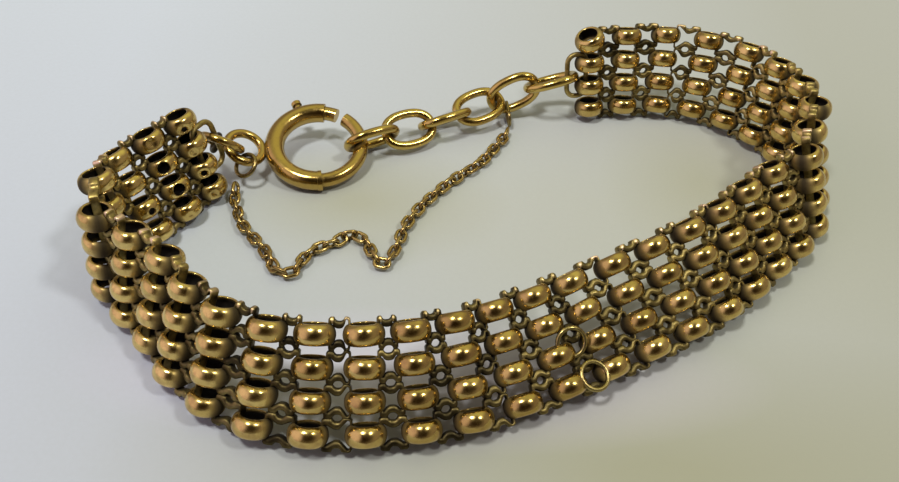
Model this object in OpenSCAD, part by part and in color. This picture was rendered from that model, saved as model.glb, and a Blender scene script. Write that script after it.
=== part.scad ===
// Gold bracelet: four rows of small hollow rings, a bolt ring clasp and two chains.
// Every size is in millimetres. The bracelet stands on its lower edge on z = 0.

/* [Band] */
// Distance from one row of rings to the next
row_pitch = 2.95; // [2.9:0.05:3.2]
// Outer diameter of one ring of the band
barrel_d = 3.85; // [3.6:0.05:3.9]
// Height of one ring of the band
barrel_h = 1.9; // [1.8:0.05:2.1]
// How far the middle of a ring's wall swells past its rims
barrel_bulge = 0.38; // [0.3:0.02:0.4]
// Thickness of a ring's wall
barrel_wall = 0.24; // [0.2:0.02:0.3]
// Width of the flat ribbon that joins the rings
ribbon_w = 1.05; // [0.8:0.05:1.1]

/* [Clasp] */
// Radius of the bolt ring, to the middle of its tube
clasp_r = 5.15; // [5:0.05:6]
// Thickness of the bolt ring's tube
tube_d = 2.3; // [2.1:0.05:2.6]
// Thickness of the catch, the thinner part of the bolt ring
catch_d = 1.7; // [1.5:0.05:1.9]
// Thickness of the sliding bolt
bolt_d = 1.7; // [1.5:0.05:1.75]

/* [Chains] */
// Thickness of the trace chain's wire
link_wire = 1.05; // [0.9:0.05:1.1]
// Outer length of one trace link
link_long = 7.2; // [7:0.05:7.4]
// Outer width of one trace link
link_wide = 5.1; // [5:0.05:5.4]
// Width of the safety chain over its links
safety_d = 1.4; // [1.2:0.1:1.6]

/* [Hidden] */
$fn = 48;
gold = [0.78, 0.58, 0.30];
dark_gold = [0.55, 0.44, 0.22];
clasp_gold = [0.83, 0.66, 0.34];

// The middle of the whole bracelet in the layout below, moved to x = 0, y = 0
middle = [3.02, 72.58, 0.009];

module placed() {
    translate(-middle)
        children();
}

// How the band runs: column of rings, heading, lean, slant and distance to the next column
BAND = [
    [0, -118, -15, 3, 4.34],
    [2, -120, -27, -1, 4.42],
    [3, -124, -14, -4, 4.66],
    [4, -64, 6, -3, 4.55],
    [5, -35, 18, -0.5, 4.64],
    [6, -58, 22, -7.5, 4.83],
    [8, -35, 29, -5.5, 5.17],
    [10, -2, 42, 1, 5.07],
    [12, 11, 45, -0.35, 4.77],
    [14, 26, 53, 2, 4.76],
    [16, 30, 55, -3.5, 4.98],
    [18, 33, 53, -1, 4.88],
    [20, 46, 42, 1.5, 4.44],
    [22, 45, 38, 1, 4.72],
    [23, 64, 21, 1.5, 4.56],
    [24, 84, 17, 7.5, 4.55],
    [25, 105, 1, 7.5, 4.42],
    [26, 115, -9, 6, 4.13],
    [28, 140, -22, 3.5, 4.47],
    [30, 180, -26, -2, 4.53],
    [32, 193, -14, 2, 4.45]];
HEADING = 1;
LEAN = 2;
SLANT = 3;
SPACING = 4;
columns = 33;
rows = 4;
start = [-27.6, 77.5];

function read_band(column, what) = lookup(column, [for (line = BAND) [line[0], line[what]]]);
function heading(k) = read_band(k, HEADING);
function lean(k) = read_band(k, LEAN);
function slant(k) = read_band(k, SLANT);
function tangent(k) = [cos(heading(k)), sin(heading(k)), 0];
function inward(k) = [-sin(heading(k)), cos(heading(k)), 0];
function upright(k) = inward(k) * sin(lean(k)) + [0, 0, 1] * cos(lean(k));
function axis(k) = upright(k) * cos(slant(k)) + tangent(k) * sin(slant(k));

// Plan position of the lowest ring of each column
function stride(k) = let (h = (heading(k) + heading(k + 1)) / 2) read_band(k, SPACING) * [cos(h), sin(h)];
function plan(k) = k == 0 ? start : plan(k - 1) + stride(k - 1);

// The lowest ring is lifted until its rim or its ribbon meets the table
rim_r = barrel_d / 2 - barrel_bulge;
half_h = barrel_h / 2;
hump = row_pitch / 2 + 0.03;
function rest(k) = let (a = abs(lean(k)), s = abs(slant(k)))
    max(half_h * cos(a) + (rim_r + 0.15) * sin(a), hump * cos(a) + ribbon_w / 2 * sin(a)) + 1.2 * sin(s);
function place_of(k, r) = [plan(k)[0], plan(k)[1], rest(k)] + axis(k) * (rows - 1 - r) * row_pitch;

function unit(v) = v / norm(v);

// Turns that carry the z axis to a direction
function aim(v) = [0, acos(v[2] / norm(v)), atan2(v[1], v[0])];
// Turns for a frame whose x axis is u and whose z axis is nearest to w
function frame(u, w) = let (x = unit(u), z = unit(w - x * (w * x)), y = cross(z, x))
    [atan2(y[2], z[2]), -asin(x[2]), atan2(x[1], x[0])];

// One ring of the band: a round hollow wall that swells in the middle
wall_r = (half_h * half_h + barrel_bulge * barrel_bulge) / (2 * barrel_bulge);
wall_x = barrel_d / 2 - wall_r;

module wall_section() {
    intersection() {
        difference() {
            translate([wall_x, 0])
                circle(wall_r, $fn = 96);
            translate([wall_x, 0])
                circle(wall_r - barrel_wall, $fn = 96);
        }
        translate([0.5, -half_h])
            square([2, barrel_h]);
    }
}

module barrel() {
    rotate_extrude()
        wall_section();
}

module full_barrel() {
    rotate_extrude()
        intersection() {
            translate([wall_x, 0])
                circle(wall_r, $fn = 96);
            translate([0, -half_h])
                square([2, barrel_h]);
        }
}

// Dents and worn holes in the left end:
// column, row, plan angle, height, dish radius, reach past the wall, hole radius
DENTS = [
    [0, 0, -58, -0.35, 1.1, 0.65, 0.3],
    [0, 1, -62, -0.35, 1.1, 0.75, 0],
    [0, 2, -64, -0.2, 1.0, 0.55, 0.35],
    [0, 3, -60, 0, 0.9, 0.6, 0],
    [1, 0, -50, 0.2, 1.1, 0.7, 0],
    [1, 1, -57, 0.2, 0, 0, 0.8],
    [1, 2, -45, 0, 0, 0, 0.9],
    [1, 3, -52, -0.3, 0.9, 0.65, 0],
    [2, 2, -38, -0.3, 0, 0, 0.4]];
ANGLE = 2;
HEIGHT = 3;
DISH = 4;
REACH = 5;
HOLE = 6;

module stand(k, r) {
    translate(place_of(k, r))
        rotate(aim(axis(k)))
            rotate(turn_of(k, r))
                children();
}

// The top ring of the right end is turned out of line
function turn_of(k, r) = (k == columns - 1 && r == 0) ? [-24, -14, 0] : [0, 0, 0];

module dented(k, r, dent) {
    way = [cos(dent[ANGLE]), sin(dent[ANGLE]), 0];
    face = unit(way - axis(k) * (way * axis(k)));
    level = place_of(k, r) + axis(k) * dent[HEIGHT];
    centre = level + face * (barrel_d / 2 + dent[REACH]);
    difference() {
        union() {
            stand(k, r)
                barrel();
            if (dent[DISH] > 0)
                intersection() {
                    stand(k, r)
                        full_barrel();
                    translate(centre)
                        sphere(dent[DISH] + barrel_wall);
                }
        }
        if (dent[DISH] > 0)
            translate(centre)
                sphere(dent[DISH]);
        if (dent[HOLE] > 0)
            translate(level + face * barrel_d / 4)
                rotate(aim(face))
                    cylinder(h = barrel_d / 2, r = dent[HOLE]);
    }
}

module ring_at(k, r) {
    marks = [for (d = DENTS) if (d[0] == k && d[1] == r) d];
    if (len(marks) > 0)
        dented(k, r, marks[0]);
    else
        stand(k, r)
            barrel();
}

// The ribbon's outline on one side of its middle: p is half the distance between the two rings,
// leg is how far its end leg stands from the ring's centre, low is how high it passes over the rim
over_rim = 1.52;
function outer_side(p, leg) =
    [[0.16, 1.08], [0.38, 1.24], [0.5, hump], [p - leg - 0.23, hump], [p - leg + 0.22, hump - 0.25]];
function inner_side(p, leg, low) =
    [[0.16, 0.84], [0.46, 0.98 + (low - soldered) * 0.35], [p - over_rim, low], [p - leg - 0.3, low],
        [p - leg, low - 0.12]];
function flip_x(points) = [for (i = [len(points) - 1:-1:0]) [-points[i][0], points[i][1]]];
function flip_z(points) = [for (i = [len(points) - 1:-1:0]) [points[i][0], -points[i][1]]];
function closed(left, right) = let (top = concat(flip_x(left), right)) concat(top, flip_z(top));
soldered = half_h - 0.05;
hooked = half_h + 0.34;
soldered_leg = 1.0;
hooked_leg = 0.82;

module ribbon(k, r, leg, low) {
    a = place_of(k, r);
    b = place_of(k + 1, r);
    p = norm(b - a) / 2;
    translate((a + b) / 2)
        rotate(frame(b - a, axis(k) + axis(k + 1)))
            rotate([90, 0, 0])
                linear_extrude(ribbon_w, center = true)
                    difference() {
                        polygon(closed(outer_side(p, soldered_leg), outer_side(p, leg)));
                        polygon(closed(inner_side(p, soldered_leg, soldered), inner_side(p, leg, low)));
                    }
}

// The first column of each length of the band: short lengths where the band bends
FIRST = [0, 3, 4, 5, 8, 11, 14, 17, 20, 22, 24, 26, 28, 30, columns];

// A length of the band: its columns of rings, the ribbons between them and those that reach the next length
module band_length(n) {
    first = FIRST[n];
    last = FIRST[n + 1] - 1;
    for (k = [first:last])
        for (r = [0:rows - 1]) {
            ring_at(k, r);
            if (k < last)
                ribbon(k, r, soldered_leg, soldered);
            else if (k < columns - 1)
                ribbon(k, r, hooked_leg, hooked);
        }
}

// A loop of wire soldered round the two middle rings of an end column
loop_wire = 0.64;
loop_high = 2.72;
loop_near = 0.45;
module end_loop(k, way, reach) {
    out = tangent(k) * way;
    wide = reach - loop_near;
    bend = 0.45;
    translate((place_of(k, 1) + place_of(k, 2)) / 2)
        rotate(frame(out, axis(k)))
            translate([(reach + loop_near) / 2, 0, 0])
                rotate([90, 0, 0])
                    wire_box(wide, 2 * loop_high, bend, loop_wire);
}

module wire_box(x, y, bend, wire) {
    for (sx = [-1, 1])
        for (sy = [-1, 1])
            translate([sx * (x / 2 - bend), sy * (y / 2 - bend), 0])
                rotate([0, 0, sx > 0 ? (sy > 0 ? 0 : 270) : (sy > 0 ? 90 : 180)])
                    rotate_extrude(angle = 90)
                        translate([bend, 0])
                            circle(d = wire, $fn = 24);
    for (s = [-1, 1]) {
        translate([s * x / 2, 0, 0])
            rotate([90, 0, 0])
                cylinder(h = y - 2 * bend, d = wire, center = true, $fn = 24);
        translate([0, s * y / 2, 0])
            rotate([0, 90, 0])
                cylinder(h = x - 2 * bend, d = wire, center = true, $fn = 24);
    }
}

module band(n) {
    color(gold)
        placed() {
            band_length(n);
            if (n == 0)
                end_loop(0, -1, 3.5);
            if (n == len(FIRST) - 2)
                end_loop(columns - 1, 1, 2.95);
            if (n == repaired_length)
                for (line = REPAIRS)
                    repair(line);
        }
}

module hoop(r, wire) {
    rotate_extrude()
        translate([r, 0])
            circle(d = wire, $fn = 24);
}

// Old repairs: wire rings soldered over the face of the band between columns 15 and 16
// Row, place along the band, place outward, place across, turns about x and z
REPAIRS = [
    [3, -0.1, -1.35, 0.1, 80, 6],
    [2, -0.9, -1.3, 0.75, 105, -10]];
repair_gap = 15;
repaired_length = 6;
module repair(line) {
    a = place_of(repair_gap, line[0]);
    b = place_of(repair_gap + 1, line[0]);
    translate((a + b) / 2)
        rotate(frame(b - a, axis(repair_gap)))
            translate([line[1], line[2], line[3]])
                rotate([line[4], 0, line[5]])
                    hoop(1.35, 0.45);
}

// Clasp: angles in the plane of the ring, from the side of the trace chain
clasp_centre = [-16.21, 84.59, 2.53];
clasp_turn = [14, 3.5, 0];
tube_end = 88;
seam = -78;
catch_end = 58;
bolt_tip = 71;
bolt_back = 136;
nub_at = 119;
bore_back = 162;
slot_from = 102;
slot_to = 142;
bolt_play = 0.06;

module clasp_place() {
    placed()
        translate(clasp_centre)
            rotate(clasp_turn)
                children();
}

module curved_rod(from, to, d) {
    rotate([0, 0, from])
        rotate_extrude(angle = to - from, $fn = 96)
            translate([clasp_r, 0])
                circle(d = d);
}

module bolt_ring() {
    color(clasp_gold)
        clasp_place() {
            difference() {
                union() {
                    curved_rod(tube_end, 360 + seam, tube_d);
                    curved_rod(360 + seam - 5, 360 + seam, tube_d + 0.14);
                }
                curved_rod(tube_end - 1, bore_back, bolt_d + 2 * bolt_play);
                rotate([0, 0, slot_from])
                    rotate_extrude(angle = slot_to - slot_from, $fn = 96)
                        translate([clasp_r + 0.6, -0.5])
                            square([0.8, 1.0]);
            }
            curved_rod(seam - 1, catch_end, catch_d);
            rotate([0, 0, 192])
                translate([clasp_r + tube_d / 2 + 0.275, 0, 0])
                    rotate([0, -24, 0])
                        translate([2.1, 0, 0])
                            hoop(2.1, 1.05);
        }
}

module bolt() {
    color(clasp_gold)
        clasp_place() {
            curved_rod(bolt_tip, bolt_back, bolt_d);
            rotate([0, 0, nub_at])
                translate([clasp_r + 0.4, 0, 0])
                    rotate([0, 90, 0]) {
                        cylinder(h = 1.5, d = 0.8);
                        translate([0, 0, 1.2])
                            cylinder(h = 0.5, d = 1.2);
                    }
        }
}

// Rings and links of wire: centre, then turns about x, y and z
JUMP = [[-26.69, 81.37, 5.06], [-6, 50, 60]];
SMALL = [[-27.89, 82.91, 3.85], [-7, 58, -179]];
THIN = [[-24.06, 80.28, 2.71], [5, 37, -127]];
HOLD = [[6.91, 94.22, 1.27], [-85, 4, -84]];
LINKS = [
    [[-9.91, 86.43, 2.51], [-58, 0, 28]],
    [[-5.52, 88.73, 2.37], [35.5, 1, 27]],
    [[-1.16, 91.08, 2.37], [-41, -1.5, 29]],
    [[3.11, 93.66, 2.62], [20, -5, 32.5]],
    [[7.5, 95.35, 3.71], [86, -25.5, 11]],
    [[12.15, 95.9, 5.16], [-24.5, -15.5, 6.5]]];

module at_place(p) {
    placed()
        translate(p[0])
            rotate(p[1])
                children();
}

module oval(long, wide, wire) {
    r = (wide - wire) / 2;
    half = (long - wide) / 2;
    for (s = [-1, 1]) {
        translate([s * half, 0, 0])
            rotate([0, 0, s > 0 ? -90 : 90])
                rotate_extrude(angle = 180)
                    translate([r, 0])
                        circle(d = wire, $fn = 24);
        translate([0, s * r, 0])
            rotate([0, 90, 0])
                cylinder(h = 2 * half, d = wire, center = true, $fn = 24);
    }
}

module trace_link(i) {
    color(clasp_gold)
        at_place(LINKS[i])
            oval(link_long, link_wide, link_wire);
}

module jump_ring() {
    color(clasp_gold)
        at_place(JUMP)
            hoop(2.25, 0.95);
}

module small_ring() {
    color(gold)
        at_place(SMALL)
            hoop(0.95, 0.72);
}

module wire_ring() {
    color(dark_gold)
        at_place(THIN)
            hoop(1.35, 0.5);
}

module chain_end_loop() {
    color(dark_gold)
        at_place(HOLD)
            oval(4.0, 2.3, 0.45);
}

// Safety chain: one tube along its route, chosen by hand from the photograph
ROUTE = [
    [-24.9, 78.3, 1.5], [-24.9, 77.2, 1.1], [-24.6, 75.6, 0.75], [-23.1, 72.2, 0.75], [-21.4, 70.0, 0.75],
    [-20.3, 68.7, 0.75], [-19.1, 66.6, 0.75], [-18.0, 65.2, 0.75], [-16.4, 65.3, 0.75], [-15.6, 67.3, 0.75],
    [-14.3, 68.9, 0.75], [-12.6, 69.8, 0.75], [-11.1, 71.1, 0.75], [-9.4, 70.3, 0.75], [-8.1, 67.8, 0.75],
    [-6.9, 66.9, 0.75], [-5.9, 69.2, 0.75], [-5.0, 73.0, 0.75], [-3.4, 76.3, 0.75], [-1.3, 79.4, 0.75],
    [1.1, 82.2, 0.75], [3.6, 84.9, 0.75], [5.5, 88.3, 0.75], [6.5, 90.2, 0.75], [6.8, 91.3, 0.85]];
per_step = 3;
sides = 8;
steps = (len(ROUTE) - 1) * per_step;

// A smooth curve through the points
function point(i) = ROUTE[max(0, min(len(ROUTE) - 1, i))];
function curve(i, t) = let (a = point(i - 1), b = point(i), c = point(i + 1), d = point(i + 2))
    0.5 * (2 * b + (c - a) * t + (2 * a - 5 * b + 4 * c - d) * t * t + (3 * b - a - 3 * c + d) * t * t * t);
function along(n) = let (i = min(floor(n / per_step), len(ROUTE) - 2)) curve(i, n / per_step - i);
function heading_at(n) = unit(along(min(n + 1, steps)) - along(max(n - 1, 0)));
corner_r = safety_d / 2 / cos(180 / sides);
function tube_ring(n) = let (f = heading_at(n), x = unit(cross(f, [0, 0, 1])), y = cross(x, f))
    [for (j = [0:sides - 1]) let (a = 360 * (j + 0.5) / sides)
        along(n) + corner_r * (x * cos(a) + y * sin(a))];

module safety_chain() {
    points = [for (n = [0:steps]) each tube_ring(n)];
    walls = [for (n = [0:steps - 1]) for (j = [0:sides - 1]) let (k = (j + 1) % sides)
        [n * sides + j, n * sides + k, (n + 1) * sides + k, (n + 1) * sides + j]];
    first = [for (j = [sides - 1:-1:0]) j];
    last = [for (j = [0:sides - 1]) steps * sides + j];
    color(gold)
        placed()
            polyhedron(points, concat(walls, [first], [last]));
}

band(0);  // band_01
band(1);  // band_02
band(2);  // band_03
band(3);  // band_04
band(4);  // band_05
band(5);  // band_06
band(6);  // band_07
band(7);  // band_08
band(8);  // band_09
band(9);  // band_10
band(10);  // band_11
band(11);  // band_12
band(12);  // band_13
band(13);  // band_14
bolt_ring();
bolt();
jump_ring();
small_ring();
wire_ring();
trace_link(0);  // trace_link_1
trace_link(1);  // trace_link_2
trace_link(2);  // trace_link_3
trace_link(3);  // trace_link_4
trace_link(4);  // trace_link_5
trace_link(5);  // trace_link_6
safety_chain();
chain_end_loop();
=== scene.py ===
# Looks of the gold bracelet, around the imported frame.
# Lengths in the tables are millimetres and are turned to metres once, where a mesh is made.
import math

import bmesh
import bpy
import numpy as np
from mathutils import Matrix


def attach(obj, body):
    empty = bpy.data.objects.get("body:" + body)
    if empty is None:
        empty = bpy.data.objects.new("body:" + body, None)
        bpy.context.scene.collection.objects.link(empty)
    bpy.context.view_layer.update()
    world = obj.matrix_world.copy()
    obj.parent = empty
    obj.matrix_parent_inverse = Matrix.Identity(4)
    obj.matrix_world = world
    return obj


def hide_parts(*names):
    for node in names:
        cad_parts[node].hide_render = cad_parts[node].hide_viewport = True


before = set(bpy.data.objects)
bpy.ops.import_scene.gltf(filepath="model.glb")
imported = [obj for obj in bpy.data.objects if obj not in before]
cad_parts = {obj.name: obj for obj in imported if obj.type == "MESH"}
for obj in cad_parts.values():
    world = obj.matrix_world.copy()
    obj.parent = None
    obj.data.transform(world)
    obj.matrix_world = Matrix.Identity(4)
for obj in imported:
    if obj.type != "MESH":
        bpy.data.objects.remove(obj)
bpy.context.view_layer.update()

MM = 0.001
# The tables' origin is the point of the table below the camera. This is the frame's origin from there.
MIDDLE = np.array([3.02, 72.58, 0.009])

# Camera: height, tilt down, roll and yaw in degrees, and focal length in pixels of a picture 899 wide
CAMERA_HIGH = 67.8
CAMERA_DOWN = 43.515
CAMERA_ROLL = 1.717
CAMERA_YAW = -0.07
CAMERA_FOCAL = 886.0
PICTURE_WIDE = 899.0
SENSOR_WIDE = 36.0

# Band: column, heading, lean and slant in degrees, spacing to the next column
BAND = np.array([
    [0, -118, -15, 3, 4.34], [2, -120, -27, -1, 4.42], [3, -124, -14, -4, 4.66], [4, -64, 6, -3, 4.55],
    [5, -35, 18, -0.5, 4.64], [6, -58, 22, -7.5, 4.83], [8, -35, 29, -5.5, 5.17], [10, -2, 42, 1, 5.07],
    [12, 11, 45, -0.35, 4.77], [14, 26, 53, 2, 4.76], [16, 30, 55, -3.5, 4.98], [18, 33, 53, -1, 4.88],
    [20, 46, 42, 1.5, 4.44], [22, 45, 38, 1, 4.72], [23, 64, 21, 1.5, 4.56], [24, 84, 17, 7.5, 4.55],
    [25, 105, 1, 7.5, 4.42], [26, 115, -9, 6, 4.13], [28, 140, -22, 3.5, 4.47], [30, 180, -26, -2, 4.53],
    [32, 193, -14, 2, 4.45]])
HEADING, LEAN, SLANT, SPACING = 1, 2, 3, 4
COLUMNS, ROWS = 33, 4
FIRST = [0, 3, 4, 5, 8, 11, 14, 17, 20, 22, 24, 26, 28, 30, COLUMNS]  # first column of each length
START = (-27.6, 77.5)  # plan place of column 0
ROW_PITCH = 2.95
BARREL_HIGH, BARREL_WIDE, BULGE = 1.9, 3.85, 0.38
RIM_R = BARREL_WIDE / 2 - BULGE
RIM_ROLL = 0.15  # how far the rim's lowest place is outside RIM_R
HALF_HIGH = BARREL_HIGH / 2
RIBBON_WIDE = 1.05  # the CAD ribbon's width, which the resting height depends on
HUMP = ROW_PITCH / 2 + 0.03  # height of a ribbon's top fold above its ring's middle
SLANT_LIFT = 1.2  # a slanted column stands this much higher, times the sine of its slant


def unit(v):
    v = np.asarray(v, float)
    return v / np.linalg.norm(v)


def turn_x(a):
    c, s = math.cos(math.radians(a)), math.sin(math.radians(a))
    return np.array([[1, 0, 0], [0, c, -s], [0, s, c]])


def turn_y(a):
    c, s = math.cos(math.radians(a)), math.sin(math.radians(a))
    return np.array([[c, 0, s], [0, 1, 0], [-s, 0, c]])


def turn_z(a):
    c, s = math.cos(math.radians(a)), math.sin(math.radians(a))
    return np.array([[c, -s, 0], [s, c, 0], [0, 0, 1]])


def turned(angles):
    return turn_z(angles[2]) @ turn_y(angles[1]) @ turn_x(angles[0])


def read_band(k, what):
    return float(np.interp(k, BAND[:, 0], BAND[:, what]))


def tangent(k):
    """Level direction of the band at column k."""
    h = math.radians(read_band(k, HEADING))
    return np.array([math.cos(h), math.sin(h), 0.0])


def axis(k):
    """Upward axis of the rings of column k."""
    lean, slant = math.radians(read_band(k, LEAN)), math.radians(read_band(k, SLANT))
    along = tangent(k)
    inward = np.array([-along[1], along[0], 0.0])
    upright = inward * math.sin(lean) + np.array([0, 0, 1.0]) * math.cos(lean)
    return upright * math.cos(slant) + along * math.sin(slant)


def plan_points():
    points = [np.array([*START, 0.0])]
    for k in range(1, COLUMNS):
        h = math.radians((read_band(k - 1, HEADING) + read_band(k, HEADING)) / 2)
        points.append(points[-1] + read_band(k - 1, SPACING) * np.array([math.cos(h), math.sin(h), 0]))
    return points


PLAN = plan_points()


def rest_height(k):
    lean, slant = math.radians(abs(read_band(k, LEAN))), math.radians(abs(read_band(k, SLANT)))
    rim = HALF_HIGH * math.cos(lean) + (RIM_R + RIM_ROLL) * math.sin(lean)
    fold = HUMP * math.cos(lean) + RIBBON_WIDE / 2 * math.sin(lean)
    return max(rim, fold) + SLANT_LIFT * math.sin(slant)


def place_of(k, r):
    """Middle of the ring in column k and row r. Row 0 is the top one."""
    return PLAN[k] + np.array([0, 0, rest_height(k)]) + axis(k) * (ROWS - 1 - r) * ROW_PITCH


def upright_frame(z):
    """Turn that carries the z axis to z, about a level line."""
    return turn_z(math.degrees(math.atan2(z[1], z[0]))) @ turn_y(math.degrees(math.acos(z[2])))


def square_frame(x, near_z):
    """Turn whose x axis is x and whose z axis is nearest to near_z."""
    x = unit(x)
    z = unit(near_z - x * (near_z @ x))
    return np.stack([x, np.cross(z, x), z], 1)


class Shape:
    """Points and faces of one piece, with the material of each part of it, its grime and painted shade, and
    its shade, a tone that holds painted light.
    """

    def __init__(self):
        self.points, self.faces, self.kinds, self.grime, self.shade = [], [], [], [], []
        self.count = 0

    def add(self, points, faces, kind, grime, shade):
        points = np.asarray(points, float).reshape(-1, 3)
        self.points.append(points)
        self.faces.extend([[i + self.count for i in f] for f in faces])
        self.kinds.extend([kind] * len(faces))
        self.grime.append(np.broadcast_to(np.asarray(grime, float), (len(points),)).copy())
        self.shade.append(np.broadcast_to(np.asarray(shade, float), (len(points),)).copy())
        self.count += len(points)

    def make(self, name, materials):
        mesh = bpy.data.meshes.new(name)
        points = (np.concatenate(self.points) - MIDDLE) * MM
        mesh.from_pydata(points.tolist(), [], self.faces)
        mesh.polygons.foreach_set("material_index", self.kinds)
        mesh.polygons.foreach_set("use_smooth", [True] * len(self.faces))
        for label, values in (("grime", self.grime), ("shade", self.shade)):
            layer = mesh.attributes.new(label, "FLOAT", "POINT")
            layer.data.foreach_set("value", np.concatenate(values))
        for m in materials:
            mesh.materials.append(m)
        mesh.validate()
        mesh.update()
        piece = bpy.data.objects.new(name, mesh)
        bpy.context.scene.collection.objects.link(piece)
        return piece


def grid_faces(rows, cols, wrap_rows=True):
    """Four-sided faces between rows of cols points. A row closes on itself, and the rows do if they wrap."""
    i, j = np.meshgrid(np.arange(rows if wrap_rows else rows - 1), np.arange(cols), indexing="ij")
    i, j = i.ravel(), j.ravel()
    a, b = i * cols + j, ((i + 1) % rows) * cols + j
    c, d = ((i + 1) % rows) * cols + (j + 1) % cols, i * cols + (j + 1) % cols
    return np.stack([a, b, c, d], 1).tolist()


def rod_faces(sides):
    """Faces of a straight rod with both its ends."""
    near_end = list(range(sides))[::-1]
    far_end = [sides + j for j in range(sides)]
    return grid_faces(2, sides, wrap_rows=False) + [near_end, far_end]


def full_turn(n):
    """n equal steps round a circle, in radians."""
    return np.radians(np.arange(n) * 360 / n)


def rounded(points, cut):
    """Each corner of a closed outline is replaced by two points near it."""
    made = []
    for i, here in enumerate(points):
        before, after = points[i - 1], points[(i + 1) % len(points)]
        made += [here + (before - here) * cut, here + (after - here) * cut]
    return np.array(made)


RNG = np.random.default_rng(9)

BARREL_SIDES = 40
# Upper half of a ring's wall, from its inside middle over the rim to its outside middle: radius, height
WALL_HALF = [
    [1.62, 0.0], [1.55, 0.4], [1.3, 0.74], [1.17, 0.86], [1.23, 0.95],
    [1.42, 0.94], [1.66, 0.77], [1.84, 0.45], [1.92, 0.0]]
WALL_CUT, RIBBON_CUT = 0.27, 0.22  # how much of each side the rounding of a corner takes


def wall_profile():
    half = np.array(WALL_HALF)
    lower = half[::-1] * [1, -1]
    return rounded(np.concatenate([half, lower[1:-1]]), WALL_CUT)


WALL = wall_profile()


def barrel_points():
    """Points of one ring about its own axis: side by side, and within each side round the wall."""
    angles = full_turn(BARREL_SIDES)
    ring = np.stack([np.cos(angles), np.sin(angles)], 1)
    x = WALL[None, :, 0] * ring[:, 0:1]
    y = WALL[None, :, 0] * ring[:, 1:2]
    z = np.broadcast_to(WALL[:, 1], x.shape)
    return np.stack([x, y, z], -1)


BARREL = barrel_points()
BARREL_FACES = grid_faces(BARREL_SIDES, len(WALL))

# An arc splits the wall's section into its inside and its outside: middle and radius
ARC_MIDDLE, ARC_R = 0.52, 1.25
SPLIT = ARC_MIDDLE + np.sqrt(ARC_R ** 2 - WALL[:, 1] ** 2)
INSIDE_TO, INSIDE_FADE = 0.9, 0.3  # the painted shade of the inside ends at this height and fades in over this much
INSIDE_SHADE = np.clip((INSIDE_TO - np.abs(WALL[:, 1])) / INSIDE_FADE, 0, 1) * (WALL[:, 0] < SPLIT)

# Tone of the metal along the band, from 0 to 1: rings and ribbons. It is painted light and shade: dark along
# the front, lighter towards the ends
TONE_COLUMNS = [0, 3, 6, 9, 12, 15, 19, 23, 26, 29, 32]
RING_TONE_AND_LIGHT = [0.55, 0.8, 0.9, 0.6, 0.1, 0.15, 0.5, 0.75, 0.8, 0.6, 0.6]
RIBBON_TONE_AND_LIGHT = [0.25, 0.75, 0.5, 0.1, 0.0, 0.2, 0.55, 0.8, 0.8, 0.3, 0.1]
TONE_VARIES = 0.14
SIDE_FROM, SIDE_SHADE = 0.78, 0.95  # painted shade on the sides that face the next rings
RING_LEANS = 1.1  # spread in degrees of the rings' small leans

# Small flats and swells of a ring, as on thin hand-worked metal: height, number round, twist with height
WAVES = [(0.012, 2, 0), (0.008, 3, 1), (0.005, 5, -1)]
WAVE_ROOM = 0.018  # keeps the swells within the CAD's ring

# Dents and worn holes in the left end. Column and row: plan angle, height, dish radius, reach, hole radius
DENTS = {
    (0, 0): (-58, -0.35, 1.1, 0.65, 0.3),
    (0, 1): (-62, -0.35, 1.1, 0.75, 0),
    (0, 2): (-64, -0.2, 1.0, 0.55, 0.35),
    (0, 3): (-60, 0, 0.9, 0.6, 0),
    (1, 0): (-50, 0.2, 1.1, 0.7, 0),
    (1, 1): (-57, 0.05, 0, 0, 0.68),
    (1, 2): (-45, 0, 0, 0, 0.72),
    (1, 3): (-52, -0.3, 0.9, 0.65, 0),
    (2, 2): (-38, -0.3, 0, 0, 0.4)}
DISH_WALL = 0.28  # thickness of the wall behind a dish
ROD_FROM, ROD_LONG, ROD_SIDES = 0.7, 2.5, 28  # the rod that a worn hole is cut with
PLUG_R, PLUG_LOW, PLUG_HIGH = 1.3, -0.8, 0.25
TURNED_RING = {(COLUMNS - 1, 0): (-24, -14, 0)}  # the ring at the right end that is bent out of line


def ring_points(radius, sides, z=0.0):
    a = full_turn(sides)
    return np.stack([radius * np.cos(a), radius * np.sin(a), z + 0 * a], 1)


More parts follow.
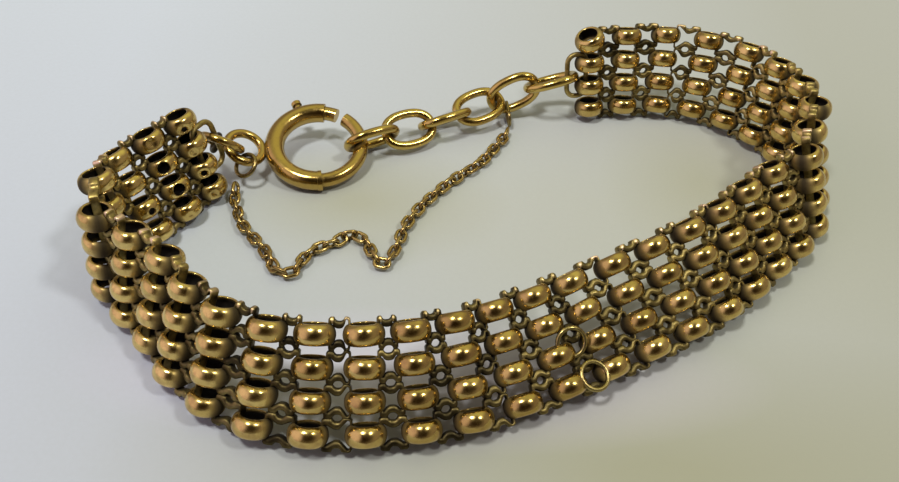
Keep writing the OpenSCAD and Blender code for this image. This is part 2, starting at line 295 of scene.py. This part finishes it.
def add_barrel(shape, k, r):
    points = BARREL.copy()
    phases = RNG.uniform(0, 2 * math.pi, 3)
    angles = full_turn(BARREL_SIDES)[:, None]
    z = points[:, :, 2]
    swell = 1 - WAVE_ROOM
    for (size, number, twist), phase in zip(WAVES, phases):
        swell = swell + size * np.sin(number * angles + phase + twist * z)
    points[:, :, 0:2] *= swell[:, :, None]
    lean = RNG.normal(0, RING_LEANS, 2)
    extra = turned(TURNED_RING.get((k, r), (0, 0, 0))) @ turned((lean[0], lean[1], 0))
    turn = upright_frame(axis(k)) @ extra
    world = points.reshape(-1, 3) @ turn.T + place_of(k, r)
    # Painted shade inside the ring and on the sides that face the next rings
    beside = np.abs(ring_points(1, BARREL_SIDES)[:, :2] @ (turn.T @ tangent(k))[:2])
    facing_shade = np.clip((beside - SIDE_FROM) / (1 - SIDE_FROM), 0, 1) * SIDE_SHADE
    grime = np.maximum(np.tile(INSIDE_SHADE, BARREL_SIDES), np.repeat(facing_shade, len(WALL)))
    faces = BARREL_FACES
    if (k, r) in DENTS:
        world, grime, faces = dented(world, grime, faces, k, r)
    # Tone by column, painted light and shade, with a random spread
    tone_and_light = np.interp(k, TONE_COLUMNS, RING_TONE_AND_LIGHT) + RNG.normal(0, TONE_VARIES)
    shape.add(world, faces, 0, grime, np.clip(tone_and_light, 0, 1))
    if (k, r) in DENTS:
        # A dark disc inside the ring: painted shade behind the worn holes
        low = ring_points(PLUG_R, BARREL_SIDES, PLUG_LOW)
        shade_plug = np.concatenate([low, low + [0, 0, PLUG_HIGH]])
        shape.add(shade_plug @ turn.T + place_of(k, r), rod_faces(BARREL_SIDES), 0, 1.0, 0.0)


def work_object(name, points, faces):
    """An object for cutting only, with its faces all turned outward."""
    mesh = bpy.data.meshes.new(name)
    mesh.from_pydata(np.asarray(points).tolist(), [], faces)
    whole = bmesh.new()
    whole.from_mesh(mesh)
    bmesh.ops.recalc_face_normals(whole, faces=whole.faces)
    whole.to_mesh(mesh)
    whole.free()
    made = bpy.data.objects.new(name, mesh)
    bpy.context.scene.collection.objects.link(made)
    return made


def punched(points, faces, grime, start, way, radius):
    """The same wall with a round hole through it: a rod from start along way is cut away."""
    body = work_object("wall", points, faces)
    body.data.attributes.new("grime", "FLOAT", "POINT").data.foreach_set("value", grime)
    near = ring_points(radius, ROD_SIDES) @ upright_frame(way).T + start
    rod = work_object("rod", np.concatenate([near, near + way * ROD_LONG]), rod_faces(ROD_SIDES))
    cut = body.modifiers.new("cut", "BOOLEAN")
    cut.operation, cut.solver, cut.object = "DIFFERENCE", "EXACT", rod
    bpy.context.view_layer.update()
    mesh = body.evaluated_get(bpy.context.evaluated_depsgraph_get()).to_mesh()
    points = np.array([v.co[:] for v in mesh.vertices])
    faces = [list(f.vertices) for f in mesh.polygons]
    grime = np.array([v.value for v in mesh.attributes["grime"].data])
    bpy.data.objects.remove(body)
    bpy.data.objects.remove(rod)
    return points, faces, grime


def dented(world, grime, faces, k, r):
    """A ring's wall with its dish pushed in and its hole worn through, as its row in DENTS says."""
    plan_angle, height, dish, reach, hole = DENTS[(k, r)]
    way = np.array([math.cos(math.radians(plan_angle)), math.sin(math.radians(plan_angle)), 0])
    face = unit(way - axis(k) * (way @ axis(k)))
    level = place_of(k, r) + axis(k) * height
    if dish:
        centre = level + face * (BARREL_WIDE / 2 + reach)
        inner = np.tile(INSIDE_SHADE, BARREL_SIDES) > 0.5
        away = world - centre
        far = np.linalg.norm(away, axis=1)
        limit = np.where(inner, dish + DISH_WALL, dish)
        push = (far < limit) & ((world - place_of(k, r)) @ face > 0)
        world = world.copy()
        world[push] = centre + away[push] / far[push][:, None] * limit[push][:, None]
    if hole:
        world, faces, grime = punched(world, faces, grime, level + face * ROD_FROM, face, hole)
    return world, grime, faces


LEG_OUT, LEG_IN = 1.36, 1.16  # distances from a ring's middle to the outside and the fold of a ribbon's leg
OVER_RIM = 1.5  # the same, to where the ribbon passes over the ring's rim
RIBBON_DEEP = 0.92  # width of the ribbon as it shows
SOLDERED, HOOKED = HALF_HIGH - 0.05, HALF_HIGH + 0.34  # height of the ribbon's underside over the rim
CAP_FROM = 1.2  # the top of the band gets a painted highlight above this height on a ribbon
PAINTED_SHEEN_RIBBONS = ((3, 0), (6, 0), (24, 0), (25, 0), (26, 0))  # column and row of ribbons with a painted reflection on their flat tops, where the band bends
SHEEN_TONE, BRIGHTEST_TONE = 0.88, 0.8  # tone of those ribbons with their painted reflection, and the most that the others' tone can be
CAP_HIGHLIGHT, CAP_FAINT_HIGHLIGHT = 1.0, 0.94  # tone of the painted highlight on the tops of ribbons, when their own tone is over the next threshold and when it is under it
FULL_HIGHLIGHT_FROM = 0.3
RIBBON_VARIES = 0.1
# Section of a ribbon with its corners cut: across its width, through its thickness
RIBBON_SIDES = [[-1, -0.7], [-0.7, -1], [0.7, -1], [1, -0.7], [1, 0.7], [0.7, 1], [-0.7, 1], [-1, 0.7]]


def ribbon_loop(right, left):
    """A closed outline from its upper right quarter and its upper left quarter."""
    right, left = np.array(right), np.array(left)[::-1] * [-1, 1]
    top = np.concatenate([left, right])
    return np.concatenate([top, top[::-1] * [1, -1]])


def outer_side(p):
    """Quarter outline of a ribbon's outside. p is half the distance between the rings it joins."""
    return [[0.2, 1.14], [0.38, 1.3], [0.46, HUMP], [p - LEG_OUT, HUMP], [p - LEG_IN, HUMP - 0.22]]


def inner_side(p, low):
    """Quarter outline of its inside, which passes the ring's rim at the height low."""
    waist = [[0.2, 0.5], [0.44, 0.62 + (low - SOLDERED) * 0.3]]
    return waist + [[p - OVER_RIM - 0.08, low], [p - OVER_RIM, low], [p - LEG_OUT, low - 0.12]]


def add_ribbon(shape, k, r, low):
    """The ribbon from the ring in column k to the next one, which it passes at the height low."""
    a, b = place_of(k, r), place_of(k + 1, r)
    p = np.linalg.norm(b - a) / 2
    outer = rounded(ribbon_loop(outer_side(p), outer_side(p)), RIBBON_CUT)
    inner = rounded(ribbon_loop(inner_side(p, low), inner_side(p, SOLDERED)), RIBBON_CUT)
    middle, half = (outer + inner) / 2, (outer - inner) / 2
    turn = square_frame(b - a, axis(k) + axis(k + 1))
    stations = []
    for m, h in zip(middle, half):
        stations.append([[m[0] + h[0] * v, RIBBON_DEEP / 2 * u, m[1] + h[1] * v] for u, v in RIBBON_SIDES])
    points = np.array(stations).reshape(-1, 3) @ turn.T + (a + b) / 2
    # Tone by column, painted light and shade, with a random spread
    tone_and_light = np.interp(k + 0.5, TONE_COLUMNS, RIBBON_TONE_AND_LIGHT) + RNG.normal(0, RIBBON_VARIES)
    # Some ribbons get a painted reflection on their flat tops
    painted_sheen = (k, r) in PAINTED_SHEEN_RIBBONS
    tone_and_light = np.full(len(middle), SHEEN_TONE if painted_sheen else np.clip(tone_and_light, 0, BRIGHTEST_TONE))
    # The top row's folds get a painted highlight
    if r == 0 and not painted_sheen:
        tone_and_light[middle[:, 1] > CAP_FROM] = CAP_HIGHLIGHT if tone_and_light[0] > FULL_HIGHLIGHT_FROM else CAP_FAINT_HIGHLIGHT
    sides = len(RIBBON_SIDES)
    shape.add(points, grid_faces(len(middle), sides), 1, 0.0, np.repeat(tone_and_light, sides))


def add_tube(shape, path, radius, turn, centre, kind, sides, shade):
    """A closed tube along a flat path, which is turned and then carried to centre."""
    along = np.roll(path, -1, 0) - np.roll(path, 1, 0)
    along /= np.linalg.norm(along, axis=1)[:, None]
    side = np.stack([along[:, 1], -along[:, 0]], 1)
    angles = full_turn(sides)
    xy = path[:, None, :] + side[:, None, :] * (np.cos(angles)[None, :, None] * radius)
    z = np.broadcast_to(np.sin(angles) * radius, xy.shape[:2])
    points = np.concatenate([xy, z[:, :, None]], -1).reshape(-1, 3)
    shape.add(points @ turn.T + centre, grid_faces(len(path), sides), kind, 0.0, shade)


def oval_path(long, wide, wire, n):
    """Centre line of a long link: two half circles and two straight sides."""
    r, half = (wide - wire) / 2, (long - wide) / 2
    a = np.radians(np.linspace(-90, 90, n))
    right = np.stack([half + r * np.cos(a), r * np.sin(a)], 1)
    return np.concatenate([right, -right])


def box_path(x, y, bend, n=6):
    """A rectangle of x by y whose corners have the radius bend, with n points each."""
    corners = []
    for sx, sy, first in ((1, 1, 0), (-1, 1, 90), (-1, -1, 180), (1, -1, 270)):
        a = np.radians(np.linspace(first, first + 90, n))
        middle = np.array([sx * (x / 2 - bend), sy * (y / 2 - bend)])
        corners.append(middle + bend * np.stack([np.cos(a), np.sin(a)], 1))
    return np.concatenate(corners)


# End loops. Column: way out of the band, reach from the ring's middle
END_LOOPS = {0: (-1, 3.5), COLUMNS - 1: (1, 2.95)}
LOOP_WIRE, LOOP_HIGH, LOOP_NEAR, LOOP_BEND = 0.64, 2.72, 0.45, 1.1
LOOP_SHADE = 0.8
# Wire repairs: row, place along, outward from and across the band, turns about x and z in degrees
REPAIRS = [(3, -0.1, -1.35, 0.1, 80, 6), (2, -0.9, -1.3, 0.75, 105, -10)]
REPAIR_GAP = 15  # the column before the gap that they bridge
REPAIR_R, REPAIR_WIRE, REPAIR_STEPS, REPAIR_SHADE = 1.35, 0.45, 36, 0.6
WIRE_SIDES = 12


def add_end_loop(shape, k, way, reach):
    base = square_frame(tangent(k) * way, axis(k))
    centre = (place_of(k, 1) + place_of(k, 2)) / 2 + base @ np.array([(reach + LOOP_NEAR) / 2, 0, 0])
    path = box_path(reach - LOOP_NEAR, 2 * LOOP_HIGH, LOOP_BEND)
    add_tube(shape, path, LOOP_WIRE / 2, base @ turn_x(90), centre, 1, WIRE_SIDES, LOOP_SHADE)


def add_repair(shape, row, along, outward, across, about_x, about_z):
    a, b = place_of(REPAIR_GAP, row), place_of(REPAIR_GAP + 1, row)
    base = square_frame(b - a, axis(REPAIR_GAP))
    centre = (a + b) / 2 + base @ np.array([along, outward, across])
    turn = base @ turned((about_x, 0, about_z))
    path = ring_points(REPAIR_R, REPAIR_STEPS)[:, :2]
    add_tube(shape, path, REPAIR_WIRE / 2, turn, centre, 2, WIRE_SIDES, REPAIR_SHADE)


# Materials
# Near black: dirt, and painted shade in recesses and inside the rings
DIRT_AND_SHADE = (0.012, 0.008, 0.005, 1.0)
# Sizes in millimetres of the patterns on the gold
SHADE_MM, FILM_MM, SPECK_MM, SMEAR_MM, PIT_MM, KNOCK_MM = 2.6, 0.9, 0.35, 0.6, 0.22, 1.3
BUMP_MM = 0.02
# Inputs and output of a colour Mix node
MIX_AMOUNT, MIX_A, MIX_B, MIX_RESULT = 0, 6, 7, 2


class Graph:
    """One material's nodes."""

    def __init__(self, name):
        self.material = bpy.data.materials.new(name)
        self.material.use_nodes = True
        self.nodes, self.links = self.material.node_tree.nodes, self.material.node_tree.links
        self.shader = self.nodes["Principled BSDF"]
        self.where = self.node("TexCoord").outputs["Object"]

    def node(self, kind, props=None, **inputs):
        """A new node. An input is given by its name with _ for a space, or as i0, i1 by its number."""
        n = self.nodes.new("ShaderNode" + kind)
        for key, value in (props or {}).items():
            setattr(n, key, value)
        for key, value in inputs.items():
            numbered = key[0] == "i" and key[1:].isdigit()
            self.put(n.inputs[int(key[1:]) if numbered else key.replace("_", " ")], value)
        return n

    def put(self, socket, value):
        if isinstance(value, bpy.types.NodeSocket):
            self.links.new(value, socket)
        else:
            socket.default_value = value

    def noise(self, size_mm, detail=3.0, rough=0.55):
        scale = 1 / (size_mm * MM)
        n = self.node("TexNoise", Vector=self.where, Scale=scale, Detail=detail, Roughness=rough)
        return n.outputs["Fac"]

    def spread(self, value, low, high, to_low=0.0, to_high=1.0):
        """The value carried from low..high to to_low..to_high, and held between them."""
        n = self.node("MapRange", {"clamp": True}, Value=value, From_Min=low, From_Max=high)
        self.put(n.inputs["To Min"], to_low)
        self.put(n.inputs["To Max"], to_high)
        return n.outputs["Result"]

    def maths(self, how, a, b):
        clamped = how in ("ADD", "MULTIPLY")
        return self.node("Math", {"operation": how, "use_clamp": clamped}, i0=a, i1=b).outputs[0]

    def mix(self, amount, a, b):
        n = self.node("Mix", {"data_type": "RGBA"})
        self.put(n.inputs[MIX_AMOUNT], amount)
        self.put(n.inputs[MIX_A], a)
        self.put(n.inputs[MIX_B], b)
        return n.outputs[MIX_RESULT]

    def attribute(self, name):
        return self.node("Attribute", {"attribute_name": name}).outputs["Fac"]


def rgb(r, g, b):
    return (r, g, b, 1.0)


def gold(name, bright, deep, tarnish, tarnished, grimy_and_shaded, rough, knocked, pitted, reach_mm, highlight_colour=None):
    """Old gold. Its metal runs from deep to bright with the piece's tone, which holds painted light, with a
    film of tarnish and with dirt and painted shade in its recesses.

    tarnished, knocked, pitted and the amount of dirt with painted shade run from 0 to 1, and rough is the
    lowest and highest roughness. Dirt and painted shade gather within reach_mm of other metal. The last
    argument is the colour of the painted highlight on the top folds of ribbons.
    """
    g = Graph(name)
    # Metal: the piece's tone, which holds painted light along the band, with broad mottling
    shade = g.attribute("shade")
    mottled = g.maths("ADD", g.maths("MULTIPLY", g.noise(SHADE_MM), 0.7), g.maths("MULTIPLY", shade, 0.6))
    base = g.mix(g.spread(mottled, 0.3, 0.95), deep, bright)
    # Patchy film of tarnish, and the painted highlight on the top folds of ribbons
    film = g.spread(g.noise(FILM_MM, 5.0, 0.65), 0.62 - tarnished, 0.92 - tarnished * 0.6)
    base = g.mix(g.maths("MULTIPLY", film, 0.8), base, tarnish)
    if highlight_colour:
        base = g.mix(g.spread(shade, 0.9, 1.0, 0.0, 0.85), base, highlight_colour)
    # Speckled dirt with painted shade in recesses, and the painted shade inside and beside the rings that the
    # point attribute carries
    hollow = g.node("AmbientOcclusion", {"samples": 6}, Distance=reach_mm * MM).outputs["AO"]
    recess = g.spread(hollow, 0.76, 0.26)
    speckled = g.spread(g.noise(SPECK_MM, 4.0, 0.6), 0.2, 0.5, 0.55, 1.0)
    dirt_and_shade = g.maths("MULTIPLY", g.maths("MULTIPLY", recess, speckled), grimy_and_shaded)
    dirt_and_shade = g.maths("MAXIMUM", dirt_and_shade, g.attribute("grime"))
    g.put(g.shader.inputs["Base Color"], g.mix(dirt_and_shade, base, DIRT_AND_SHADE))
    g.put(g.shader.inputs["Metallic"], g.spread(dirt_and_shade, 0.0, 1.0, 1.0, 0.45))
    # Smears in the gloss, fine pits and small knocks
    smear = g.spread(g.noise(SMEAR_MM, 4.0, 0.6), 0.3, 0.75, *rough)
    g.put(g.shader.inputs["Roughness"], g.maths("ADD", smear, g.maths("MULTIPLY", dirt_and_shade, 0.65)))
    pits = g.maths("MULTIPLY", g.noise(PIT_MM, 4.0, 0.6), pitted)
    knocks = g.maths("MULTIPLY", g.noise(KNOCK_MM, 2.0, 0.5), knocked)
    bump = g.node("Bump", Strength=1.0, Distance=BUMP_MM * MM, Height=g.maths("ADD", pits, knocks))
    g.put(g.shader.inputs["Normal"], bump.outputs["Normal"])
    return g.material


ring_gold = gold(
    "ring_gold", bright=rgb(0.78, 0.58, 0.20), deep=rgb(0.44, 0.30, 0.09), tarnish=rgb(0.30, 0.17, 0.08),
    tarnished=0.16, grimy_and_shaded=0.95, rough=(0.14, 0.27), knocked=0.9, pitted=0.35, reach_mm=1.4)
ribbon_gold = gold(
    "ribbon_gold", bright=rgb(0.74, 0.57, 0.20), deep=rgb(0.05, 0.04, 0.018), tarnish=rgb(0.03, 0.022, 0.012),
    tarnished=0.34, grimy_and_shaded=0.95, rough=(0.34, 0.55), knocked=1.0, pitted=0.6, reach_mm=1.5,
    highlight_colour=rgb(0.92, 0.68, 0.48))
repair_gold = gold(
    "repair_gold", bright=rgb(0.42, 0.34, 0.13), deep=rgb(0.32, 0.24, 0.09), tarnish=rgb(0.15, 0.10, 0.04),
    tarnished=0.2, grimy_and_shaded=0.85, rough=(0.22, 0.38), knocked=0.9, pitted=0.5, reach_mm=1.1)
clasp_gold = gold(
    "clasp_gold", bright=rgb(0.60, 0.43, 0.12), deep=rgb(0.50, 0.34, 0.10), tarnish=rgb(0.32, 0.21, 0.07),
    tarnished=0.1, grimy_and_shaded=0.85, rough=(0.14, 0.26), knocked=0.8, pitted=0.3, reach_mm=0.9)
chain_gold = gold(
    "chain_gold", bright=rgb(0.52, 0.38, 0.14), deep=rgb(0.42, 0.28, 0.10), tarnish=rgb(0.20, 0.13, 0.05),
    tarnished=0.16, grimy_and_shaded=0.95, rough=(0.18, 0.32), knocked=0.8, pitted=0.4, reach_mm=0.7)


def make_lengths():
    for n in range(len(FIRST) - 1):
        shape = Shape()
        first, last = FIRST[n], FIRST[n + 1] - 1
        for k in range(first, last + 1):
            for r in range(ROWS):
                add_barrel(shape, k, r)
                if k < COLUMNS - 1:
                    add_ribbon(shape, k, r, SOLDERED if k < last else HOOKED)
            if k in END_LOOPS:
                add_end_loop(shape, k, *END_LOOPS[k])
        if first <= REPAIR_GAP <= last:
            for line in REPAIRS:
                add_repair(shape, *line)
        node = "band_%02d" % (n + 1)
        piece = shape.make(node + "_rings", [ring_gold, ribbon_gold, repair_gold])
        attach(piece, "bracelet")
        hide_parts(node)


make_lengths()

# Safety chain: fine links along its route, each turned a quarter from the one before
ROUTE = np.array([
    [-24.9, 78.3, 1.5], [-24.9, 77.2, 1.1], [-24.6, 75.6, 0.75], [-23.1, 72.2, 0.75], [-21.4, 70.0, 0.75],
    [-20.3, 68.7, 0.75], [-19.1, 66.6, 0.75], [-18.0, 65.2, 0.75], [-16.4, 65.3, 0.75], [-15.6, 67.3, 0.75],
    [-14.3, 68.9, 0.75], [-12.6, 69.8, 0.75], [-11.1, 71.1, 0.75], [-9.4, 70.3, 0.75], [-8.1, 67.8, 0.75],
    [-6.9, 66.9, 0.75], [-5.9, 69.2, 0.75], [-5.0, 73.0, 0.75], [-3.4, 76.3, 0.75], [-1.3, 79.4, 0.75],
    [1.1, 82.2, 0.75], [3.6, 84.9, 0.75], [5.5, 88.3, 0.75], [6.5, 90.2, 0.75], [6.8, 91.3, 0.85]])
FINE_LONG, FINE_WIDE, FINE_WIRE, FINE_PITCH = 2.1, 1.46, 0.42, 1.2
FINE_STEPS, FINE_SIDES = 9, 9
FLAT_ROLL, UPRIGHT_ROLL, ROLL_VARIES = 14, 98, 9  # turns in degrees of each second link, of the rest, spread
END_SHARE = 0.35  # the first and last links' middles are this part of a link in from the route's ends
LOOK_AWAY = 0.6  # the route's direction at a link is read this far before and behind it


def smooth_route(steps=24):
    """A smooth curve through the route's points, with this many steps between two of them."""
    made = []
    n = len(ROUTE)
    for i in range(n - 1):
        a, b, c, d = (ROUTE[max(0, min(n - 1, j))] for j in (i - 1, i, i + 1, i + 2))
        square, cube = 2 * a - 5 * b + 4 * c - d, 3 * b - a - 3 * c + d
        for t in np.arange(steps) / steps:
            made.append(0.5 * (2 * b + (c - a) * t + square * t * t + cube * t ** 3))
    made.append(ROUTE[-1])
    return np.array(made)


def make_safety_chain():
    route = smooth_route()
    walked = np.concatenate([[0], np.cumsum(np.linalg.norm(np.diff(route, axis=0), axis=1))])

    def point_at(s):
        return np.array([np.interp(s, walked, route[:, j]) for j in range(3)])

    shape = Shape()
    link = oval_path(FINE_LONG, FINE_WIDE, FINE_WIRE, FINE_STEPS)
    first = FINE_LONG * END_SHARE
    span = walked[-1] - 2 * first
    count = int(span / FINE_PITCH)
    for i in range(count + 1):
        s = first + i * span / count
        base = square_frame(point_at(s + LOOK_AWAY) - point_at(s - LOOK_AWAY), np.array([0, 0, 1.0]))
        turn = base @ turn_x((FLAT_ROLL if i % 2 else UPRIGHT_ROLL) + RNG.normal(0, ROLL_VARIES))
        add_tube(shape, link, FINE_WIRE / 2, turn, point_at(s), 0, FINE_SIDES, RNG.uniform(0, 1))
    piece = shape.make("safety_chain_links", [chain_gold])
    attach(piece, "bracelet")
    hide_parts("safety_chain")


make_safety_chain()

# Trace chain: centre of each oval link, and its turns about x, y and z in degrees
LINKS = [
    ([-9.91, 86.43, 2.51], (-58, 0, 28)),
    ([-5.52, 88.73, 2.37], (35.5, 1, 27)),
    ([-1.16, 91.08, 2.37], (-41, -1.5, 29)),
    ([3.11, 93.66, 2.62], (20, -5, 32.5)),
    ([7.5, 95.35, 3.71], (86, -25.5, 11)),
    ([12.15, 95.9, 5.16], (-24.5, -15.5, 6.5))]
LINK_LONG, LINK_WIDE, LINK_WIRE = 7.2, 5.1, 1.1
LINK_ROUND = 2.35  # 2 is an ellipse, more is squarer
LINK_STEPS, LINK_SIDES = 56, 20


def link_path():
    """Centre line of a trace link."""
    a = full_turn(LINK_STEPS)
    c, s = np.cos(a), np.sin(a)
    x = (LINK_LONG - LINK_WIRE) / 2 * np.sign(c) * np.abs(c) ** (2 / LINK_ROUND)
    y = (LINK_WIDE - LINK_WIRE) / 2 * np.sign(s) * np.abs(s) ** (2 / LINK_ROUND)
    return np.stack([x, y], 1)


def make_trace_links():
    for i, (centre, turns) in enumerate(LINKS):
        node = "trace_link_%d" % (i + 1)
        shape = Shape()
        add_tube(shape, link_path(), LINK_WIRE / 2, turned(turns), centre, 0, LINK_SIDES, RNG.uniform(0.3, 1))
        piece = shape.make(node + "_oval", [clasp_gold])
        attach(piece, "bracelet")
        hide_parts(node)


make_trace_links()

# CAD solids that stay, each with its material
CAD_LOOKS = {
    "bolt_ring": clasp_gold, "bolt": clasp_gold, "jump_ring": clasp_gold, "small_ring": ribbon_gold,
    "wire_ring": repair_gold, "chain_end_loop": repair_gold}
for name, look in CAD_LOOKS.items():
    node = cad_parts[name]
    node.data.materials.clear()
    node.data.materials.append(look)

# Table: its colour runs from left to right and from near to far, between these places in metres. The run is
# painted light, bluish and bright at the far left and dimmer at the right
TABLE_HALF = 1.5
LEFT_AT, RIGHT_AT, NEAR_AT, FAR_AT = -0.05, 0.05, -0.04, 0.07
FLOOR_LEFT, FLOOR_RIGHT = rgb(0.51, 0.56, 0.67), rgb(0.40, 0.42, 0.36)
FLOOR_FAR_LEFT, FLOOR_FAR_RIGHT = rgb(0.66, 0.74, 0.86), rgb(0.485, 0.515, 0.48)
FLOOR_SPECK, SPECK_AMOUNT, FLOOR_SPECK_MM = rgb(0.3, 0.3, 0.28), 0.05, 0.5
FLOOR_ROUGH, FLOOR_SPECULAR = 0.6, 0.3

# Soft painted light and painted shadows on the table, where the gold reflects onto it and shades it, with a
# lavender painted light in the shade inside the band's front: middle and half widths in millimetres, where
# the tint starts and where it is whole in half widths, amount, colour
TABLE_PAINTED_LIGHT = [
    ((8, 2), (34, 17), 1.4, 0.3, 0.25, rgb(0.50, 0.51, 0.36)),
    ((-14, 5), (13, 8), 1.4, 0.1, 0.6, rgb(0.38, 0.385, 0.25)),
    ((27, 10), (9, 12), 1.4, 0.1, 0.5, rgb(0.38, 0.385, 0.25)),
    ((16, -30), (34, 12), 1.5, 0.1, 0.75, rgb(0.33, 0.335, 0.21)),
    ((-6, -20), (27, 7), 1.3, 0.1, 0.45, rgb(0.74, 0.69, 0.96))]


def add_floor():
    g = Graph("table")
    mesh = bpy.data.meshes.new("table")
    corners = [(x * TABLE_HALF, y * TABLE_HALF, 0) for x, y in ((-1, -1), (1, -1), (1, 1), (-1, 1))]
    mesh.from_pydata(corners, [], [(0, 1, 2, 3)])
    mesh.materials.append(g.material)
    floor = bpy.data.objects.new("table", mesh)
    bpy.context.scene.collection.objects.link(floor)
    split = g.node("SeparateXYZ", Vector=g.where)
    # Painted light: bluish and bright at the far left, dimmer at the right
    across = g.spread(split.outputs["X"], LEFT_AT, RIGHT_AT)
    away = g.spread(split.outputs["Y"], NEAR_AT, FAR_AT)
    base = g.mix(across, FLOOR_LEFT, FLOOR_RIGHT)
    base = g.mix(away, base, g.mix(across, FLOOR_FAR_LEFT, FLOOR_FAR_RIGHT))
    # Patch by patch, painted light and painted shadow
    for middle, wide, edge, heart, amount, tint in TABLE_PAINTED_LIGHT:
        shift = g.node("Mapping", Vector=g.where)
        shift.inputs["Scale"].default_value = (1 / wide[0] / MM, 1 / wide[1] / MM, 0)
        shift.inputs["Location"].default_value = (-middle[0] / wide[0], -middle[1] / wide[1], 0)
        far = g.node("VectorMath", {"operation": "LENGTH"}, i0=shift.outputs["Vector"]).outputs["Value"]
        base = g.mix(g.spread(far, edge, heart, 0.0, amount), base, tint)
    base = g.mix(g.spread(g.noise(FLOOR_SPECK_MM), 0.3, 0.7, 0.0, SPECK_AMOUNT), base, FLOOR_SPECK)
    g.put(g.shader.inputs["Base Color"], base)
    g.put(g.shader.inputs["Roughness"], FLOOR_ROUGH)
    g.put(g.shader.inputs["Specular IOR Level"], FLOOR_SPECULAR)


add_floor()

LAMP_COLOUR, LAMP_AWAY = (1.0, 0.97, 0.9), 600  # distance in millimetres, as the lamps' sizes are


def add_lamp(name, azimuth, elevation, size, power):
    """A round lamp that faces the bracelet. Azimuth 0 is on the camera's side and 90 is to the right."""
    lamp = bpy.data.lights.new(name, "AREA")
    lamp.shape = "DISK"
    lamp.size = size * MM
    lamp.energy = power
    lamp.color = LAMP_COLOUR
    holder = bpy.data.objects.new(name, lamp)
    a, e = math.radians(azimuth), math.radians(elevation)
    way = np.array([math.sin(a) * math.cos(e), -math.cos(a) * math.cos(e), math.sin(e)])
    turn = square_frame(np.cross(way, [0, 1.0, 0.2]), way)
    place = np.eye(4)
    place[:3, :3] = turn
    place[:3, 3] = way * LAMP_AWAY * MM
    holder.matrix_world = Matrix(place.tolist())
    bpy.context.scene.collection.objects.link(holder)


add_lamp("lamp_left", azimuth=-53, elevation=72, size=100, power=1.7)
add_lamp("lamp_right", azimuth=70, elevation=59, size=80, power=1.0)

# Room: colours of its ceiling, walls and underside, and the heights between which they run
CEILING = rgb(0.74, 0.74, 0.48)
WALLS = rgb(0.40, 0.34, 0.30)
BELOW = rgb(0.30, 0.28, 0.25)
WALLS_FROM, WALLS_TO, CEILING_FROM = 0.12, 0.6, 0.95
ROOM_STRENGTH = 0.8

# Soft areas of the room: direction, edge and heart of the area as cosines, colour
AREAS = [
    ((0.0, -0.66, 0.75), 0.45, 0.93, rgb(0.035, 0.022, 0.012)),
    ((-0.85, -0.25, 0.38), 0.66, 0.96, rgb(1.12, 0.9, 1.1)),
    ((0.3, 0.55, 0.78), 0.78, 0.98, rgb(0.9, 0.9, 0.5))]


def add_world():
    world = bpy.data.worlds.new("room")
    bpy.context.scene.world = world
    world.use_nodes = True
    nodes, links = world.node_tree.nodes, world.node_tree.links
    where = nodes.new("ShaderNodeTexCoord").outputs["Generated"]
    split = nodes.new("ShaderNodeSeparateXYZ")
    links.new(where, split.inputs[0])
    ramp = nodes.new("ShaderNodeValToRGB")
    stops = ramp.color_ramp.elements
    stops[0].position, stops[0].color = 0.0, BELOW
    stops[1].position, stops[1].color = CEILING_FROM, CEILING
    stops.new(WALLS_FROM).color = WALLS
    stops.new(WALLS_TO).color = WALLS
    links.new(split.outputs["Z"], ramp.inputs[0])
    colour = ramp.outputs[0]
    for way, edge, heart, tint in AREAS:
        dot = nodes.new("ShaderNodeVectorMath")
        dot.operation = "DOT_PRODUCT"
        links.new(where, dot.inputs[0])
        dot.inputs[1].default_value = tuple(unit(way))
        amount = nodes.new("ShaderNodeMapRange")
        amount.interpolation_type = "SMOOTHSTEP"
        links.new(dot.outputs["Value"], amount.inputs["Value"])
        amount.inputs["From Min"].default_value = edge
        amount.inputs["From Max"].default_value = heart
        blend = nodes.new("ShaderNodeMix")
        blend.data_type = "RGBA"
        links.new(amount.outputs["Result"], blend.inputs[MIX_AMOUNT])
        links.new(colour, blend.inputs[MIX_A])
        blend.inputs[MIX_B].default_value = tint
        colour = blend.outputs[MIX_RESULT]
    links.new(colour, nodes["Background"].inputs["Color"])
    nodes["Background"].inputs["Strength"].default_value = ROOM_STRENGTH


add_world()


def add_camera():
    down, roll, yaw = math.radians(CAMERA_DOWN), math.radians(CAMERA_ROLL), math.radians(CAMERA_YAW)
    forward = np.array([math.sin(yaw) * math.cos(down), math.cos(yaw) * math.cos(down), -math.sin(down)])
    level = np.array([math.cos(yaw), -math.sin(yaw), 0.0])
    up = np.cross(level, forward)
    right = math.cos(roll) * level + math.sin(roll) * up
    above = -math.sin(roll) * level + math.cos(roll) * up
    data = bpy.data.cameras.new("camera")
    data.sensor_width = SENSOR_WIDE
    data.lens = CAMERA_FOCAL / PICTURE_WIDE * SENSOR_WIDE
    data.clip_start, data.clip_end = 0.001, 10
    holder = bpy.data.objects.new("camera", data)
    place = np.eye(4)
    place[:3, 0], place[:3, 1], place[:3, 2] = right, above, -forward
    place[:3, 3] = (np.array([0, 0, CAMERA_HIGH]) - MIDDLE) * MM
    holder.matrix_world = Matrix(place.tolist())
    bpy.context.scene.collection.objects.link(holder)
    bpy.context.scene.camera = holder


add_camera()
bpy.context.scene.view_settings.view_transform = "Standard"
